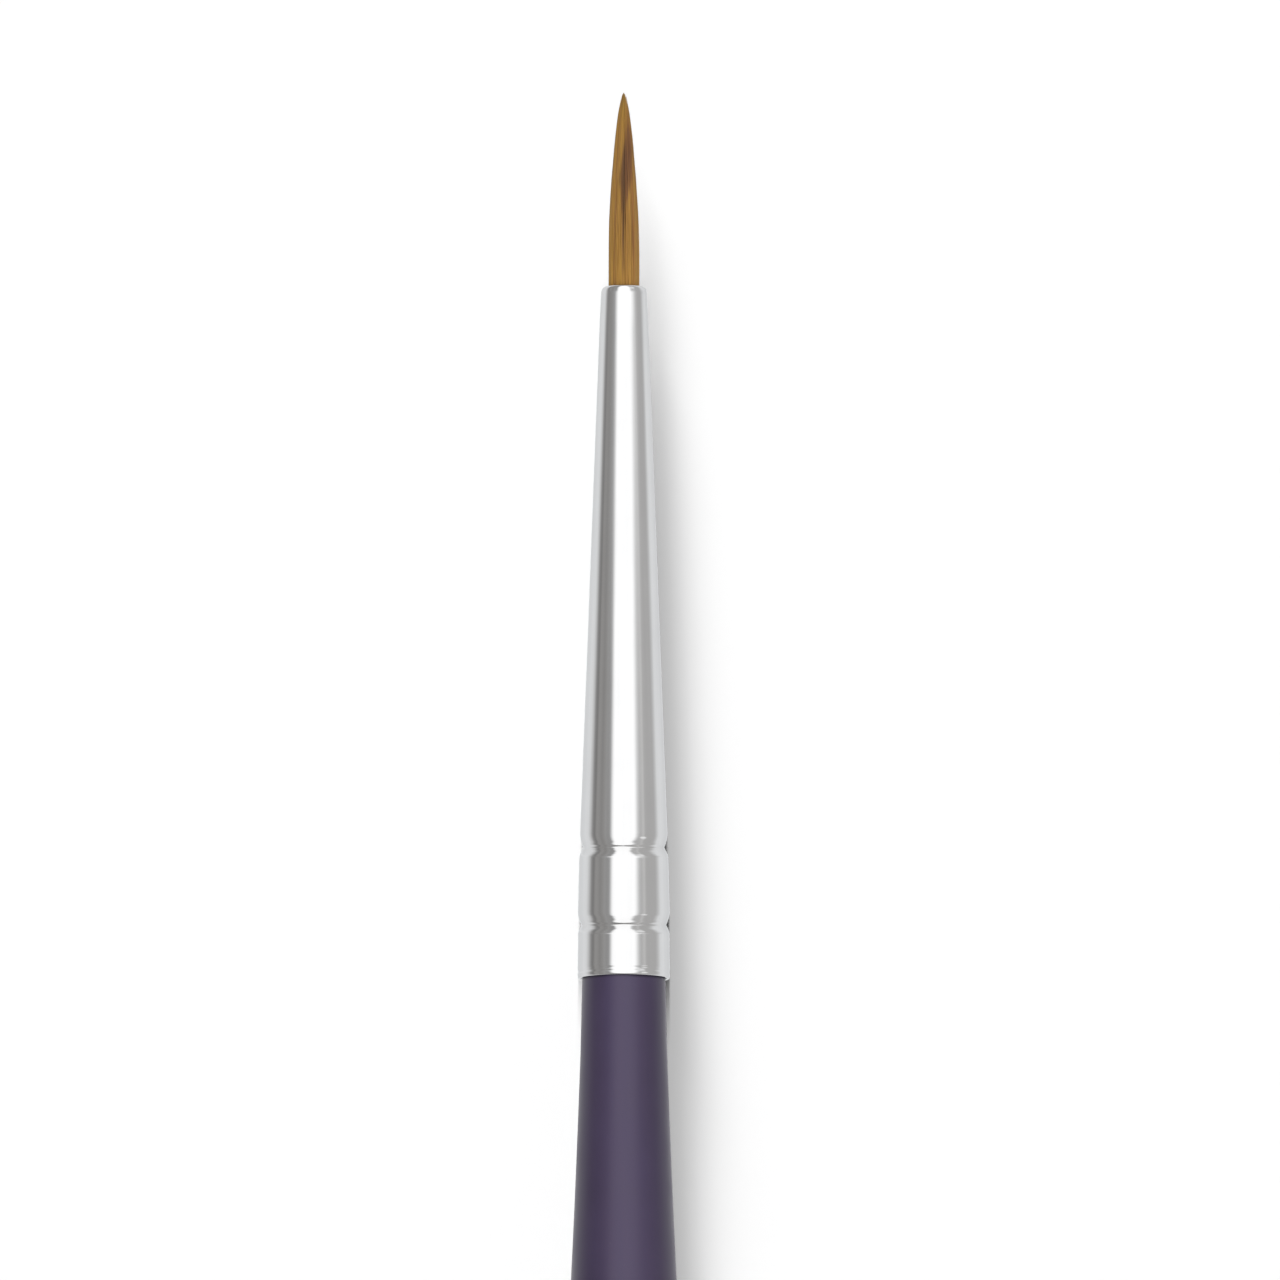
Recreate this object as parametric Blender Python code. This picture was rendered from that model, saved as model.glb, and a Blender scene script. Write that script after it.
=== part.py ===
"""Fine detail brush: a round hair tuft in a drawn metal ferrule on a turned, lacquered wood handle.

Metres, +Z up. The brush lies on the ground plane with its long axis along Y and its tip towards +Y.
The origin is below the middle of its length, on the ground. Profiles are written in millimetres.
"""

import math

import bmesh
import bpy

MM = 0.001

# ---- driving dimensions, in millimetres ----
TOTAL_LENGTH = 180.0
TUFT_LENGTH = 9.25  # hair in front of the ferrule's mouth
FERRULE_LENGTH = 32.35
BELLY_RADIUS = 3.10  # the handle at its thickest
LACQUER = 0.08  # thickness of the lacquer coat
FIT_GAP = 0.02  # clearance between nested pieces

FERRULE_WALL = 0.20
MOUTH_RADIUS = 1.071  # outside of the cone at the mouth
MOUTH_BORE = 0.80
CONE_SLOPE = 0.0372  # radius gained for each millimetre of length
REAR_RADIUS = 2.132
CRIMPS = (  # distance behind the mouth, depth, width towards the mouth and towards the handle
    (26.22, 0.131, 0.48, 0.60),
    (29.80, 0.126, 0.56, 0.54),
)

TENON_START = 18.0  # distances behind the mouth
GLUE_START, GLUE_END = 19.0, 31.6
GLUE_THICKNESS = 0.06
ROOT_FRONT, ROOT_END = 0.42, 13.0
CEMENT_FRONT, CEMENT_END = 1.4, 15.5
THREAD_START, THREAD_TURNS, THREAD_RADIUS, THREAD_PITCH = 9.12, 6, 0.07, 0.165

FLEX_PIVOT = 0.35  # the tuft bends about this point, in front of the mouth
HEEL_RADIUS = 0.728  # round heel of the tuft, which turns inside the mouth
LOCK_COUNT = 15
LOCK_GAP = 0.016

ROUND = 32  # facets round the axis, the same on all nested pieces so that they stay parallel
MOUTH_Y = TOTAL_LENGTH / 2 - TUFT_LENGTH
PIVOT_Y = MOUTH_Y + FLEX_PIVOT
AXIS_Z = BELLY_RADIUS * math.cos(math.pi / ROUND)  # a facet of the belly lies on the ground


# ---- profiles ----
def between(keys, x):
    """A smooth curve through (x, value) keys, with no overshoot (monotone cubic)."""
    if x <= keys[0][0]:
        return keys[0][1]
    if x >= keys[-1][0]:
        return keys[-1][1]
    slopes = [(b[1] - a[1]) / (b[0] - a[0]) for a, b in zip(keys, keys[1:])]
    ends = [slopes[0]]
    for before, after in zip(slopes, slopes[1:]):
        same = before * after > 0
        ends.append(2 * before * after / (before + after) if same else 0.0)
    ends.append(slopes[-1])
    i = max(k for k in range(len(slopes)) if keys[k][0] <= x)
    (x0, y0), (x1, y1) = keys[i], keys[i + 1]
    h = x1 - x0
    t = (x - x0) / h
    return (
        y0 * (1 + 2 * t) * (1 - t) ** 2
        + h * ends[i] * t * (1 - t) ** 2
        + y1 * t * t * (3 - 2 * t)
        + h * ends[i + 1] * t * t * (t - 1)
    )


CONE_END = 25.6
BARREL = [
    (CONE_END, MOUTH_RADIUS + CONE_SLOPE * CONE_END),
    (26.31, 2.045),
    (27.0, 2.069),
    (27.84, 2.090),
    (29.0, 2.120),
    (29.4, 2.128),
    (29.85, 2.123),
    (30.5, 2.114),
    (31.1, 2.122),
    (31.8, REAR_RADIUS),
    (FERRULE_LENGTH, REAR_RADIUS - 0.008),
]
MOUTH_ROLL = [(0.0, 0.030), (0.6, 0.022), (1.4, 0.008), (2.6, 0.0)]  # how far the mouth is rolled in
HANDLE = [
    (0.0, 1.930),
    (1.08, 1.958),
    (3.0, 1.998),
    (5.77, 2.094),
    (10.47, 2.283),
    (14.18, 2.455),
    (20.0, 2.700),
    (27.0, 2.930),
    (34.0, 3.062),
    (40.0, BELLY_RADIUS),
    (47.0, 3.065),
    (56.0, 2.925),
    (68.0, 2.665),
    (82.0, 2.320),
    (96.0, 1.990),
    (110.0, 1.720),
    (122.0, 1.545),
    (132.0, 1.430),
    (136.6, 1.385),
]
TUFT = [
    (0.0, 0.728),
    (1.2, 0.728),
    (2.3, 0.710),
    (2.9, 0.699),
    (3.7, 0.660),
    (4.5, 0.606),
    (5.1, 0.570),
    (5.9, 0.499),
    (6.5, 0.449),
    (7.1, 0.395),
    (7.9, 0.298),
    (8.5, 0.200),
    (8.8, 0.128),
    (9.05, 0.070),
    (TUFT_LENGTH, 0.006),
]


def ferrule_outside(u):
    """Outer radius of the ferrule at a distance behind its mouth, crimps included."""
    base = between(BARREL, u)
    if u < CONE_END:
        base = MOUTH_RADIUS + CONE_SLOPE * u - between(MOUTH_ROLL, u)
    for centre, depth, before, after in CRIMPS:
        x = abs(u - centre) / (before if u < centre else after)
        if x < 1:
            base -= depth * (1 - x) ** 1.7
    return base


def ferrule_inside(u):
    """Inner radius of the ferrule: a rolled lip at the mouth, then the wall follows the outside."""
    full = ferrule_outside(u) - FERRULE_WALL
    return between([(0.25, MOUTH_BORE), (1.2, full)], u) if u < 1.2 else full


def crimp_stations(start, end, steps=(-1, -0.5, 0, 0.5, 1)):
    """Distances behind the mouth that follow the cone loosely and the crimps closely."""
    loose = [1.2, 2.6, 9.0, 17.0, 25.4, 27.9, 31.1, 31.8]
    close = [centre + k * (before if k < 0 else after) for centre, _, before, after in CRIMPS for k in steps]
    return [start] + sorted(u for u in loose + close if start + 0.05 < u < end - 0.05) + [end]


def handle_outside():
    """(distance behind the mouth, radius) along the lacquered handle, from inside the ferrule to the end flat."""
    start = FERRULE_LENGTH
    points = [(start - 0.30, 1.895)]
    for s in (0.0, 1.5, 4.0, 8.0, 14.18, 20.0, 27.0, 34.0, 40.0, 47.0, 60.0, 82.0, 110.0, 132.0, 136.6):
        points.append((start + s, between(HANDLE, s)))
    end = TOTAL_LENGTH - TUFT_LENGTH
    points += [(end - 0.80, 1.27), (end - 0.33, 1.12), (end - 0.09, 0.97), (end, 0.86)]
    return points


def inset(points, depth):
    """The profile moved inwards, square to itself."""
    moved = []
    for i, (u, r) in enumerate(points):
        before, after = points[max(i - 1, 0)], points[min(i + 1, len(points) - 1)]
        du, dr = after[0] - before[0], after[1] - before[1]
        length = math.hypot(du, dr)
        moved.append((u + depth * dr / length, r - depth * du / length))
    moved[-1] = (points[-1][0] - depth, points[-1][1] - 0.4 * depth)
    return moved


# ---- scene helpers ----
def clear_scene():
    for old in list(bpy.data.objects):
        bpy.data.objects.remove(old, do_unlink=True)


def material(name, colour, metallic=0.0, roughness=0.5):
    made = bpy.data.materials.new(name)
    made.use_nodes = True
    shader = made.node_tree.nodes["Principled BSDF"]
    shader.inputs["Base Color"].default_value = (*colour, 1.0)
    shader.inputs["Metallic"].default_value = metallic
    shader.inputs["Roughness"].default_value = roughness
    return made


def add_piece(name, mesh_builder, finish, origin_y, sharp_deg=35.0):
    """A named object whose mesh is in millimetres about (0, origin_y) on the brush's axis."""
    shape = bmesh.new()
    mesh_builder(shape)
    bmesh.ops.recalc_face_normals(shape, faces=shape.faces)
    bmesh.ops.scale(shape, vec=(MM, MM, MM), verts=shape.verts)
    mesh = bpy.data.meshes.new(name)
    shape.to_mesh(mesh)
    shape.free()
    mesh.materials.append(finish)
    mesh.shade_smooth()
    mesh.set_sharp_from_angle(angle=math.radians(sharp_deg))
    piece = bpy.data.objects.new(name, mesh)
    piece.location = (0.0, origin_y * MM, AXIS_Z * MM)
    bpy.context.scene.collection.objects.link(piece)
    return piece


def ring_of(shape, y, radius, count=ROUND):
    """Points round the axis, turned so that a facet faces straight down."""
    step = 2 * math.pi / count
    return [
        shape.verts.new((radius * math.cos((k + 0.5) * step), y, radius * math.sin((k + 0.5) * step)))
        for k in range(count)
    ]


def skin(shape, rings, loop=False):
    """Quads between neighbouring rings, then a cap on each end unless the profile is a loop."""
    pairs = list(zip(rings, rings[1:])) + ([(rings[-1], rings[0])] if loop else [])
    for a, b in pairs:
        for k in range(len(a)):
            n = (k + 1) % len(a)
            shape.faces.new((a[k], a[n], b[n], b[k]))
    if not loop:
        shape.faces.new(rings[0])
        shape.faces.new(rings[-1])


def turned(profile, origin_u=0.0, loop=False):
    """A builder for a piece of revolution. profile holds (distance behind the mouth, radius)."""

    def build(shape):
        skin(shape, [ring_of(shape, origin_u - u, r) for u, r in profile], loop)

    return build


# ---- the pieces ----
def ferrule_profile():
    end = FERRULE_LENGTH
    outside = [(0.0, 0.945), (0.03, 0.998), (0.11, 1.035), (0.26, ferrule_outside(0.26))]
    fine = (-1, -0.66, -0.38, -0.16, 0, 0.16, 0.38, 0.66, 1)
    outside += [(u, ferrule_outside(u)) for u in crimp_stations(0.6, end - 0.10, fine)]
    outside += [(end - 0.04, REAR_RADIUS - 0.024), (end, REAR_RADIUS - 0.062)]
    inside = [(end, 2.000), (end - 0.42, ferrule_inside(end - 0.42))]
    inside += [(u, ferrule_inside(u)) for u in reversed(crimp_stations(1.2, end - 0.7))]
    inside += [(0.75, ferrule_inside(0.75)), (0.28, MOUTH_BORE), (0.06, MOUTH_BORE), (0.0, MOUTH_BORE + 0.05)]
    return outside + inside


def glue_profile():
    stations = crimp_stations(GLUE_START, GLUE_END)
    outer = [(u, ferrule_inside(u) - FIT_GAP) for u in stations]
    inner = [(u, ferrule_inside(u) - FIT_GAP - GLUE_THICKNESS) for u in reversed(stations)]
    return outer + inner


def core_profile():
    """Turned wood: a tenon that follows the crimps, then the handle, one lacquer coat below the surface."""
    below = 2 * FIT_GAP + GLUE_THICKNESS
    start_radius = ferrule_inside(TENON_START) - below
    tenon = [(TENON_START, start_radius - 0.35), (TENON_START + 0.35, start_radius)]
    tenon += [(u, ferrule_inside(u) - below) for u in crimp_stations(TENON_START + 1.0, GLUE_END)]
    return tenon + inset(handle_outside(), LACQUER + FIT_GAP)


def lacquer_profile():
    """A thin cup: its inside from the bottom to the front edge, then its outside back to the end."""
    outside = handle_outside()
    return list(reversed(inset(outside, LACQUER))) + outside


ROOT_RADIUS = [(ROOT_FRONT, 0.770), (1.4, 0.775), (8.2, 0.790), (8.9, 0.760), (10.3, 0.760), (11.0, 0.800),
               (ROOT_END, 0.840)]


def cement_profile():
    """A cup round the bound roots, closed behind them."""
    floor = ROOT_END + FIT_GAP
    inside = [(floor, 0.840 + FIT_GAP), (11.2, 0.806 + FIT_GAP), (10.75, 0.975), (8.60, 0.975),
              (8.2, 0.790 + FIT_GAP), (CEMENT_FRONT, 0.775 + FIT_GAP)]
    outside = [(u, ferrule_inside(u) - FIT_GAP) for u in (CEMENT_FRONT, 5.3, 10.0, 14.7, CEMENT_END)]
    return inside + outside


def binding_thread(shape):
    """One length of thread wound round the roots, its two ends cut square."""
    steps, sides = 16, 6
    centre = 0.760 + 0.03 + THREAD_RADIUS
    rings = []
    for i in range(THREAD_TURNS * steps + 1):
        a = 2 * math.pi * i / steps
        y = -(THREAD_START + THREAD_PITCH * i / steps)
        ring = []
        for k in range(sides):
            b = 2 * math.pi * k / sides
            r = centre + THREAD_RADIUS * math.cos(b)
            ring.append(shape.verts.new((r * math.cos(a), y + THREAD_RADIUS * math.sin(b), r * math.sin(a))))
        rings.append(ring)
    skin(shape, rings)


def heel_radius(t):
    """Radius of the tuft at t in front of the mouth, rounded behind the pivot so that it can turn."""
    behind = FLEX_PIVOT - t
    return math.sqrt(max(HEEL_RADIUS**2 - behind**2, 0.0)) if behind > 0 else between(TUFT, t)


def belly_radius(t):
    """Radius of the middle bundle, which alone runs on to the very point."""
    share = between([(0.0, 0.46), (6.2, 0.46), (8.45, 0.97), (TUFT_LENGTH, 1.0)], t)
    if t < FLEX_PIVOT:
        return min(0.46 * HEEL_RADIUS, heel_radius(t))
    return share * heel_radius(t)


def belly_bundle(shape):
    heel = FLEX_PIVOT - math.sqrt(HEEL_RADIUS**2 - 0.25**2)
    stations = [heel, FLEX_PIVOT - 0.655, FLEX_PIVOT, 1.2, 2.4, 3.6, 5.0, 6.2, 7.0, 7.7, 8.2, 8.6, 8.95, TUFT_LENGTH]
    radii = [0.25] + [belly_radius(t) for t in stations[1:]]
    skin(shape, [ring_of(shape, t - FLEX_PIVOT, r, LOCK_COUNT) for t, r in zip(stations, radii)])


def hair_lock(index):
    """One outer lock: a rounded wedge of hair that lies along the tuft and ends in its own point."""
    length = 7.1 + 1.15 * ((index * 7) % LOCK_COUNT) / (LOCK_COUNT - 1)
    middle = 2 * math.pi * (index + 0.5) / LOCK_COUNT

    def build(shape):
        stations = [FLEX_PIVOT - 0.54, FLEX_PIVOT - 0.42, FLEX_PIVOT - 0.22, FLEX_PIVOT]
        stations += [1.1, 2.4, 3.3, 4.3, 5.3, length - 1.2, length - 0.55, length - 0.15, length]
        rings = []
        for t in stations:
            inner = belly_radius(t) + FIT_GAP
            outer = max(heel_radius(t), inner + 0.01)
            left = (length - t) / 2.0
            keep = min(1.0, math.sqrt(max(left, 0.0)) + 0.06)
            centre = (inner + outer) / 2 if left > 0.3 else inner + (outer - inner) * 0.42
            inner, outer = centre - (centre - inner) * keep, centre + (outer - centre) * keep
            ring = []
            for r, share in ((inner, -0.72), (centre, -1.0), (outer - 0.03 * keep * outer, -0.84), (outer, -0.38),
                             (outer, 0.38), (outer - 0.03 * keep * outer, 0.84), (centre, 1.0), (inner, 0.72)):
                half = (math.pi / LOCK_COUNT - LOCK_GAP / (2 * r)) * keep
                a = middle + share * max(half, 0.02)
                ring.append(shape.verts.new((r * math.cos(a), t - FLEX_PIVOT, r * math.sin(a))))
            rings.append(ring)
        skin(shape, rings)

    return build


def main():
    clear_scene()
    nickel = material("nickel", (0.78, 0.78, 0.80), 1.0, 0.16)
    plum = material("plum_lacquer", (0.075, 0.062, 0.098), 0.0, 0.42)
    timber = material("timber", (0.55, 0.38, 0.22), 0.0, 0.7)
    glue = material("wood_glue", (0.80, 0.74, 0.55), 0.0, 0.5)
    cement = material("cement", (0.62, 0.44, 0.20), 0.0, 0.35)
    thread = material("thread", (0.80, 0.76, 0.66), 0.0, 0.8)
    hair = material("hair", (0.32, 0.18, 0.08), 0.0, 0.45)
    hair_belly = material("hair_belly", (0.24, 0.13, 0.06), 0.0, 0.5)

    add_piece("ferrule", turned(ferrule_profile(), loop=True), nickel, MOUTH_Y)
    add_piece("root_cement", turned(cement_profile()), cement, MOUTH_Y)
    add_piece("hair_roots", turned(ROOT_RADIUS), hair_belly, MOUTH_Y)
    add_piece("binding_thread", binding_thread, thread, MOUTH_Y, 60.0)
    add_piece("handle_glue", turned(glue_profile(), FERRULE_LENGTH, True), glue, MOUTH_Y - FERRULE_LENGTH)
    add_piece("handle_core", turned(core_profile(), FERRULE_LENGTH), timber, MOUTH_Y - FERRULE_LENGTH)
    add_piece("handle_lacquer", turned(lacquer_profile(), FERRULE_LENGTH), plum, MOUTH_Y - FERRULE_LENGTH)
    add_piece("tuft_belly", belly_bundle, hair_belly, PIVOT_Y, 50.0)
    for index in range(LOCK_COUNT):
        add_piece(f"hair_lock_{index + 1:02d}", hair_lock(index), hair, PIVOT_Y, 50.0)


main()
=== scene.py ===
"""Fine detail brush: a drawn nickel ferrule, a lacquered handle and a tuft of single hairs.

Metres, +Z up. The brush lies along Y with its tip towards +Y. Profiles are written in
millimetres, as distances behind the ferrule's mouth (u), behind the ferrule's end (s) or in
front of the mouth (t).
"""

import math
import random

import bmesh
import bpy
import numpy as np
from mathutils import Matrix, Vector


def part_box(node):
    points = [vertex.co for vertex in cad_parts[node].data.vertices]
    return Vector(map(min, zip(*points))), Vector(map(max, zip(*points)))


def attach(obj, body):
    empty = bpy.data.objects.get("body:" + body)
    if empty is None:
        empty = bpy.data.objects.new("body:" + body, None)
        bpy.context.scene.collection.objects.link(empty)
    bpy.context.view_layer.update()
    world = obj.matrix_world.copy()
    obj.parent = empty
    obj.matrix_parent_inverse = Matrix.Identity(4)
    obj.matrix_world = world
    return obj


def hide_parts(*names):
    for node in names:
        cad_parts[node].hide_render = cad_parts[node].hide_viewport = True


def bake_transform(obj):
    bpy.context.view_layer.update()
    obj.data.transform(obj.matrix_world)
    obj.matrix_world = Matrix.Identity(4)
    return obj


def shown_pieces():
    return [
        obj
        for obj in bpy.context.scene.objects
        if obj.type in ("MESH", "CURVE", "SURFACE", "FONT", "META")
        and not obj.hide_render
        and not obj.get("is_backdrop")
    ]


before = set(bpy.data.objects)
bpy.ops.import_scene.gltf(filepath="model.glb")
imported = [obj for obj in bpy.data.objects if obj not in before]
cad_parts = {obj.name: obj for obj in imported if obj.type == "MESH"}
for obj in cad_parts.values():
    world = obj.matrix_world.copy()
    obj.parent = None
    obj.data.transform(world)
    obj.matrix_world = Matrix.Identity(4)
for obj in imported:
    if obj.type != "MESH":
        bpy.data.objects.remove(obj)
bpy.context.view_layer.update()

MM = 0.001

# ---- where the brush lies, from the frame ----
ferrule_low, ferrule_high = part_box("ferrule")
MOUTH_Y = ferrule_high.y / MM
AXIS_Z = (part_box("handle_lacquer")[0].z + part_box("handle_lacquer")[1].z) / 2 / MM
FERRULE_LENGTH = (ferrule_high.y - ferrule_low.y) / MM
HANDLE_END_U = MOUTH_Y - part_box("handle_lacquer")[0].y / MM
TUFT_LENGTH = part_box("tuft_belly")[1].y / MM - MOUTH_Y
LOCK_NODES = sorted(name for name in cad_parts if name.startswith("hair_lock_"))

# ---- ferrule, in millimetres ----
FERRULE_WALL = 0.20
MOUTH_RADIUS = 1.071
MOUTH_BORE = 0.80
CONE_SLOPE = 0.0372
REAR_RADIUS = 2.132
CONE_END = 25.6
CRIMPS = (  # distance behind the mouth, then (distance from the deepest line, depth)
    (
        26.24,
        (
            (-0.62, 0.0),
            (-0.48, 0.016),
            (-0.34, 0.044),
            (-0.20, 0.084),
            (-0.12, 0.105),
            (0.0, 0.152),
            (0.05, 0.136),
            (0.13, 0.106),
            (0.24, 0.058),
            (0.35, 0.018),
            (0.43, 0.002),
            (0.50, 0.0),
        ),
    ),
    (
        29.85,
        (
            (-0.62, 0.0),
            (-0.46, 0.016),
            (-0.33, 0.048),
            (-0.20, 0.086),
            (-0.12, 0.106),
            (0.0, 0.152),
            (0.05, 0.134),
            (0.13, 0.096),
            (0.23, 0.048),
            (0.34, 0.014),
            (0.43, 0.002),
            (0.50, 0.0),
        ),
    ),
)
CRIMP_SLANT = 0.22
CRIMP_SLANT_REACH = (0.7, 1.3)  # full this near a crimp's centre, and gone this far from it
END_BEAD = (32.05, 0.14, 0.024)  # a shallow ring rolled in near the end: place, half width, depth
BARREL = (
    (CONE_END, MOUTH_RADIUS + CONE_SLOPE * CONE_END),
    (26.31, 2.045),
    (27.0, 2.069),
    (27.84, 2.090),
    (29.0, 2.120),
    (29.4, 2.128),
    (29.85, 2.123),
    (30.5, 2.114),
    (31.1, 2.122),
    (31.7, REAR_RADIUS),
    (32.20, REAR_RADIUS + 0.004),
    (32.28, REAR_RADIUS - 0.006),
    (32.35, REAR_RADIUS - 0.026),
)
MOUTH_ROLL = ((0.0, 0.016), (0.5, 0.010), (1.6, 0.0))  # the wall drawn in towards the mouth
MOUTH_EDGE = (  # the rounded edge at the mouth: distance behind it, radius, wear
    (-0.045, 0.820, 1),
    (-0.042, 0.866, 1),
    (-0.030, 0.918, 1),
    (-0.010, 0.964, 0.9),
    (0.018, 1.003, 0.7),
    (0.06, 1.032, 0.5),
)
FERRULE_SEGMENTS = 192

# ---- handle ----
LACQUER = 0.08
FERRULE_RIM_SHADOW = ((0.03, 0.12), (0.13, 0.0))  # painted shadow of the ferrule's rim: a dark bead on the lacquer where it meets the ferrule
HANDLE = (
    (0.0, 1.930),
    (1.08, 1.958),
    (3.0, 1.998),
    (5.77, 2.094),
    (10.47, 2.283),
    (14.18, 2.455),
    (20.0, 2.700),
    (27.0, 2.930),
    (34.0, 3.062),
    (40.0, 3.10),
    (47.0, 3.065),
    (56.0, 2.925),
    (68.0, 2.665),
    (82.0, 2.320),
    (96.0, 1.990),
    (110.0, 1.720),
    (122.0, 1.545),
    (132.0, 1.430),
    (136.6, 1.385),
)
END_ROUNDING = (  # the rounded tail end: distance before it, radius
    (1.9, 1.387),
    (1.6, 1.378),
    (1.35, 1.362),
    (1.1, 1.335),
    (0.9, 1.300),
    (0.7, 1.250),
    (0.5, 1.182),
    (0.33, 1.112),
    (0.2, 1.045),
    (0.1, 0.975),
    (0.04, 0.920),
    (0.0, 0.860),
)
HANDLE_SEGMENTS = 128
LYING_FIT = math.cos(math.pi / 32)  # the round handle lies where the frame's lowest facet does

# ---- tuft ----
TUFT = (
    (0.0, 0.728),
    (1.2, 0.730),
    (2.3, 0.722),
    (2.9, 0.712),
    (3.7, 0.678),
    (4.5, 0.628),
    (5.1, 0.590),
    (5.9, 0.518),
    (6.5, 0.470),
    (7.1, 0.416),
    (7.9, 0.320),
    (8.5, 0.222),
    (8.8, 0.155),
    (9.05, 0.102),
    (9.18, 0.078),
    (9.31, 0.030),
)
TIP_LEAN, TIP_REACH = 0.015, 0.055  # the point's lean to the left, and its reach past the belly
HAIR_COUNT = 460
HAIR_RADIUS = 0.038
HAIR_SIDES = 6
HAIR_ROOT = -0.40
BELLY_SHARE = 0.46  # hairs nearer the axis than this share of the tuft make up the belly
BELLY_SHADE, OUTER_SHADE, BOUND_SHADE = -0.05, 0.0, 0.45


def between(keys, x):
    """A smooth curve through (x, value) keys, with no overshoot (monotone cubic)."""
    if x <= keys[0][0]:
        return keys[0][1]
    if x >= keys[-1][0]:
        return keys[-1][1]
    slopes = [(b[1] - a[1]) / (b[0] - a[0]) for a, b in zip(keys, keys[1:])]
    ends = [slopes[0]]
    for before, after in zip(slopes, slopes[1:]):
        ends.append(2 * before * after / (before + after) if before * after > 0 else 0.0)
    ends.append(slopes[-1])
    i = max(k for k in range(len(slopes)) if keys[k][0] <= x)
    (x0, y0), (x1, y1) = keys[i], keys[i + 1]
    h = x1 - x0
    t = (x - x0) / h
    rise = y0 * (1 + 2 * t) * (1 - t) ** 2 + y1 * t * t * (3 - 2 * t)
    return rise + h * t * (1 - t) * (ends[i] * (1 - t) - ends[i + 1] * t)


# ---- profiles ----
def crimp_depth(u):
    """How deep the crimps press the wall in at a distance behind the mouth."""
    for centre, keys in CRIMPS:
        if keys[0][0] < u - centre < keys[-1][0]:
            return between(keys, u - centre)
    return 0.0


def crimp_slant(u):
    """How much further back than its middle a crimp sits on top, fading out on either side."""
    near, far = CRIMP_SLANT_REACH
    slants = []
    for centre, _ in CRIMPS:
        fading = ((-far, 0.0), (-near, CRIMP_SLANT), (near, CRIMP_SLANT), (far, 0.0))
        slants.append(between([(centre + off, slant) for off, slant in fading], u))
    return max(slants)


def ferrule_plain(u):
    """Outer radius of the ferrule without its crimps."""
    if u < CONE_END:
        return MOUTH_RADIUS + CONE_SLOPE * u - between(MOUTH_ROLL, u)
    place, half, depth = END_BEAD
    off = (u - place) / half
    return between(BARREL, u) - (depth * (1 - off * off) ** 2 if abs(off) < 1 else 0.0)


def ferrule_inner(u):
    full = ferrule_plain(min(u, 31.4)) - crimp_depth(u) - FERRULE_WALL
    return between([(0.25, MOUTH_BORE), (1.2, full)], u) if u < 1.2 else full


def ferrule_stations(start, end, coarse, fine):
    """Distances behind the mouth, closer together in the crimps and at the end."""
    stations = list(np.linspace(start, end, coarse))
    for centre, keys in CRIMPS:
        stations += list(np.linspace(centre + keys[0][0] - 0.05, centre + keys[-1][0] + 0.05, fine))
    place, half, _ = END_BEAD
    stations += list(np.linspace(place - half, place + half, 13))
    stations += list(np.linspace(place + half, end, 14))
    stations = sorted(u for u in stations if start <= u <= end)
    kept = stations[:1]
    for u in stations[1:]:
        if u - kept[-1] > 0.012:
            kept.append(u)
    return kept


def ferrule_rings():
    """The wall's cross-section once round: (u, radius, crimp depth, edge)."""
    end = FERRULE_LENGTH
    rings = [(u, radius, 0, edge) for u, radius, edge in MOUTH_EDGE]
    rings += [(0.12, 1.048, 0, 0.3), (0.19, 1.059, 0, 0.15), (0.30, ferrule_plain(0.30), 0, 0)]
    outside = ferrule_stations(0.4, end - 0.06, 96, 92)
    rings += [(u, ferrule_plain(u), crimp_depth(u), 0) for u in outside]
    last = ferrule_plain(end)
    rings += [(end - 0.03, ferrule_plain(end - 0.03), 0, 0.8), (end - 0.008, last - 0.004, 0, 1)]
    rings += [(end, last - 0.022, 0, 1), (end, 2.005, 0, 1), (end - 0.02, 1.992, 0, 0.6)]
    inside = ferrule_stations(1.2, end - 0.45, 30, 24)
    rings += [(u, ferrule_inner(u), 0, 0) for u in reversed(inside)]
    rings += [(0.75, ferrule_inner(0.75), 0, 0), (0.30, MOUTH_BORE, 0, 0)]
    rings += [(0.06, MOUTH_BORE, 0, 0.4), (-0.01, 0.802, 0, 0.9), (-0.035, 0.808, 0, 1)]
    return rings


def handle_outer():
    """The lacquer's outside from inside the ferrule to the flat end: (u, radius, edge)."""
    start, end = FERRULE_LENGTH, HANDLE_END_U
    profile = [(start - 0.30, 1.895, 0), (start - 0.15, 1.915, 0)]
    stations = [0.0, 0.04, 0.08, 0.13] + list(np.linspace(0.3, end - start - 2.2, 130))
    profile += [(start + s, between(HANDLE, s), 0) for s in stations]
    for back, radius in END_ROUNDING:
        profile.append((end - back, radius, min(1.0, 0.25 + 0.9 * (1 - back))))
    return profile


def handle_rings():
    """A thin cup: the outside to the end, then the inside back to the front edge."""
    outer = handle_outer()
    # The first rings carry the ferrule rim's painted shadow as their crimp mark; the same amount is
    # added to their radius, so the lacquer keeps nearly its size.
    darkening = [between(FERRULE_RIM_SHADOW, u - FERRULE_LENGTH) for u, _, _ in outer]
    rings = [(u, r * LYING_FIT + dark, dark, edge) for (u, r, edge), dark in zip(outer, darkening)]
    last = outer[-1][0]
    inside = []
    for u, r, _ in reversed(outer[::6]):
        inside.append((min(u, last - LACQUER), (r - LACQUER) * LYING_FIT, 0, 0))
    return rings, inside


# ---- mesh helpers ----
def finished_object(name, shape, finish, sharp_deg=40.0):
    """A named object from a bmesh whose points are in millimetres in the row frame."""
    bmesh.ops.recalc_face_normals(shape, faces=shape.faces)
    bmesh.ops.scale(shape, vec=(MM, MM, MM), verts=shape.verts)
    mesh = bpy.data.meshes.new(name)
    shape.to_mesh(mesh)
    shape.free()
    mesh.materials.append(finish)
    mesh.shade_smooth()
    if sharp_deg:
        mesh.set_sharp_from_angle(angle=math.radians(sharp_deg))
    piece = bpy.data.objects.new(name, mesh)
    bpy.context.scene.collection.objects.link(piece)
    return piece


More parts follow.
